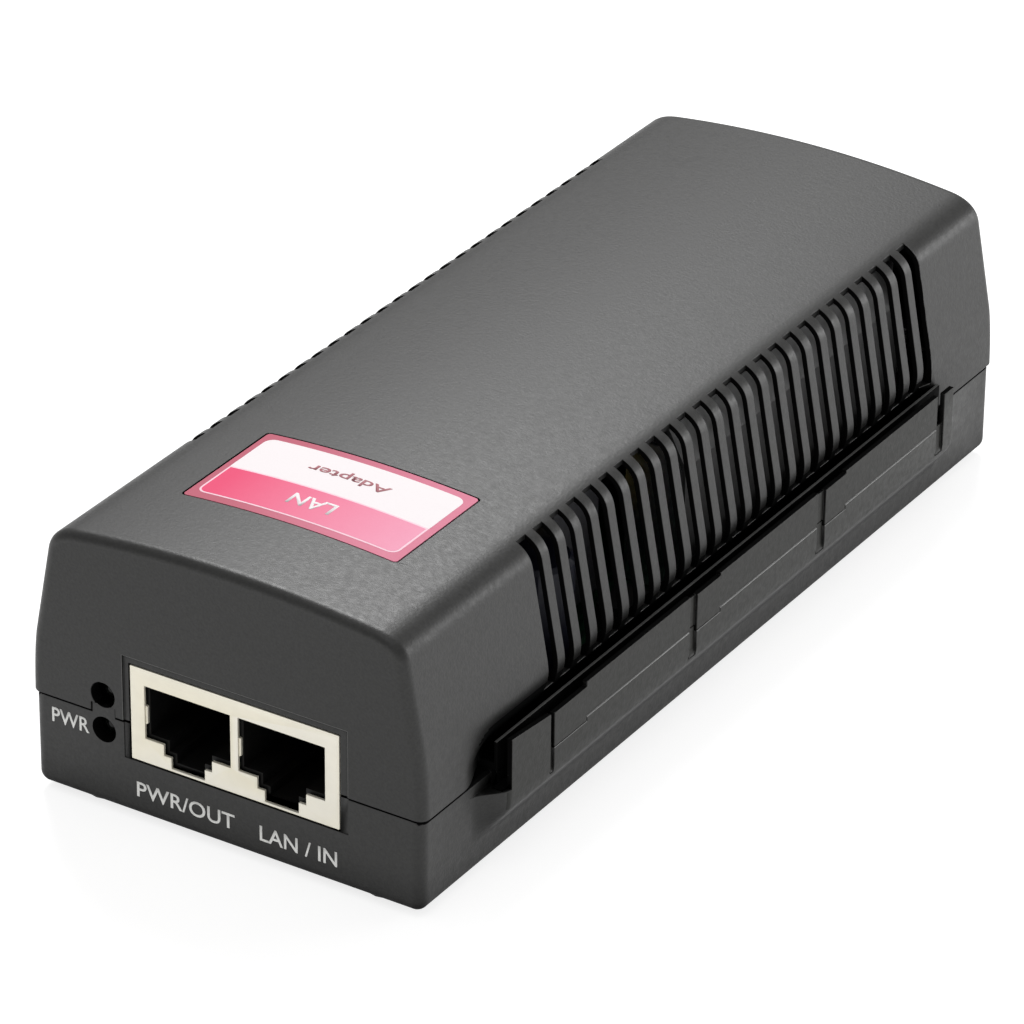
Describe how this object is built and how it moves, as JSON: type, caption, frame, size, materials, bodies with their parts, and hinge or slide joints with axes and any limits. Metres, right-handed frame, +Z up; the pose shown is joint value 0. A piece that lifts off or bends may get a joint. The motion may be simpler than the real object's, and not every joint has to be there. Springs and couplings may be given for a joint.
{
  "type": "poe injector",
  "caption": "Mains-powered PoE injector: vented two-piece case with a ganged pair of RJ45 ports in front and an IEC C14 inlet behind.",
  "frame": {"origin": "on the surface it stands on, under the centre of the case and its four feet", "axes": "+X to the right as seen from the ports, +Y to the back (mains inlet), +Z up"},
  "size_m": [0.064, 0.144, 0.04],
  "materials": {
    "case_plastic": "fine moulded grain, charcoal",
    "label_print": "printed film, pink and white",
    "rating_foil": "satin silver film",
    "foot_rubber": "matte black",
    "screw_steel": "zinc-plated",
    "board_laminate": "green solder mask",
    "jack_shield_metal": "satin nickel, warm",
    "jack_plastic": "black moulding",
    "contact_gold": "gold-plated",
    "led_lens": "clear tinted lens, unlit",
    "inlet_plastic": "black moulding",
    "pin_metal": "nickel-plated",
    "fuse_glass": "clear",
    "blue_epoxy": "dipped epoxy",
    "green_epoxy": "dipped epoxy",
    "capacitor_box": "moulded box",
    "ferrite": "dark sintered ferrite",
    "copper_wire": "enamelled copper",
    "black_epoxy": "moulded epoxy",
    "capacitor_sleeve": "shrink sleeve",
    "heat_sink_aluminium": "bare sheet",
    "winding_tape": "polyester tape",
    "insulating_sheet": "smooth dark sheet"
  },
  "bodies": {
    "unit": {"top_cover": "case_plastic", "bottom_case": "case_plastic", "top_label": "label_print", "rating_label": "rating_foil", "foot_front_left": "foot_rubber", "foot_front_right": "foot_rubber", "foot_back_left": "foot_rubber", "foot_back_right": "foot_rubber", "case_screw_front_left": "screw_steel", "case_screw_front_right": "screw_steel", "case_screw_back_left": "screw_steel", "case_screw_back_right": "screw_steel", "circuit_board": "board_laminate", "jack_shield": "jack_shield_metal", "jack_housing": "jack_plastic", "out_port_pin_block": "jack_plastic", "in_port_pin_block": "jack_plastic", "status_led_upper": "led_lens", "status_led_lower": "led_lens", "led_holder": "jack_plastic", "ac_inlet_housing": "inlet_plastic", "inlet_pin_line": "pin_metal", "inlet_pin_neutral": "pin_metal", "inlet_pin_earth": "pin_metal", "fuse": "fuse_glass", "fuse_clip_front": "pin_metal", "fuse_clip_back": "pin_metal", "varistor": "blue_epoxy", "inrush_thermistor": "green_epoxy", "x_capacitor": "capacitor_box", "choke_core": "ferrite", "choke_winding_left": "copper_wire", "choke_winding_right": "copper_wire", "bridge_rectifier": "black_epoxy", "bulk_capacitor": "capacitor_sleeve", "primary_heat_sink": "heat_sink_aluminium", "switching_transistor": "black_epoxy", "transistor_screw": "screw_steel", "transformer_core": "ferrite", "transformer_bobbin": "black_epoxy", "transformer_winding": "winding_tape", "y_capacitor": "blue_epoxy", "optocoupler": "black_epoxy", "secondary_heat_sink": "heat_sink_aluminium", "output_diode": "black_epoxy", "diode_screw": "screw_steel", "output_capacitor_left": "capacitor_sleeve", "output_capacitor_right": "capacitor_sleeve", "output_inductor": "ferrite", "power_controller": "black_epoxy", "poe_controller": "black_epoxy", "lan_transformer": "black_epoxy", "insulating_barrier": "insulating_sheet"},
    "out_port_spring": {"out_port_contacts": "contact_gold"},
    "in_port_spring": {"in_port_contacts": "contact_gold"}
  },
  "joints": [
    {"name": "out_port_contact_lift", "type": "hinge", "parent": "unit", "child": "out_port_spring", "pos_m": [-0.00566, -0.0686, 0.02035], "axis": [1, 0, 0], "range_deg": [0, 12], "stiffness_Nm_per_rad": 0.2},
    {"name": "in_port_contact_lift", "type": "hinge", "parent": "unit", "child": "in_port_spring", "pos_m": [0.0083, -0.0686, 0.02035], "axis": [1, 0, 0], "range_deg": [0, 12], "stiffness_Nm_per_rad": 0.2}
  ]
}
